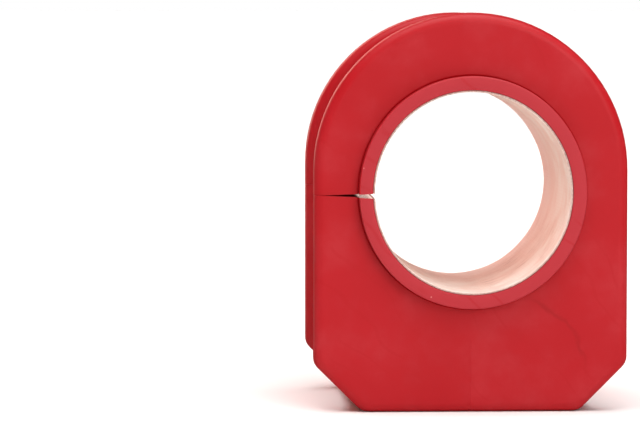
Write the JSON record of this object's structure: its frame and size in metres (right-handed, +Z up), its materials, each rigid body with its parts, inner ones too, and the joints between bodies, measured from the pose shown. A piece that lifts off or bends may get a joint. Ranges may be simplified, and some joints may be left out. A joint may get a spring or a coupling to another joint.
{
  "type": "sway bar bushing",
  "caption": "Split, flanged frame bushing for a sway bar: a round-topped red polyurethane block with a fabric-lined bore, a strap groove and a slit that opens over the bar.",
  "frame": {"origin": "middle of the flat base that sits on the vehicle's frame", "axes": "+Z up from the base towards the round top, the bar's axis along Y, the slit on -X"},
  "size_m": [0.055, 0.0464, 0.0698],
  "materials": {
    "polyurethane": "satin moulded red polyurethane",
    "liner_fabric": "smooth woven low-friction fabric, off-white"
  },
  "bodies": {
    "base": {"base_block": "polyurethane", "liner_lower": "liner_fabric"},
    "upper": {"arch": "polyurethane", "liner_upper": "liner_fabric"}
  },
  "joints": [
    {"name": "slit_opening", "type": "hinge", "parent": "base", "child": "upper", "pos_m": [0.0275, 0, 0.038], "axis": [0, 1, 0], "range_deg": [0, 46], "stiffness_Nm_per_rad": 1}
  ]
}
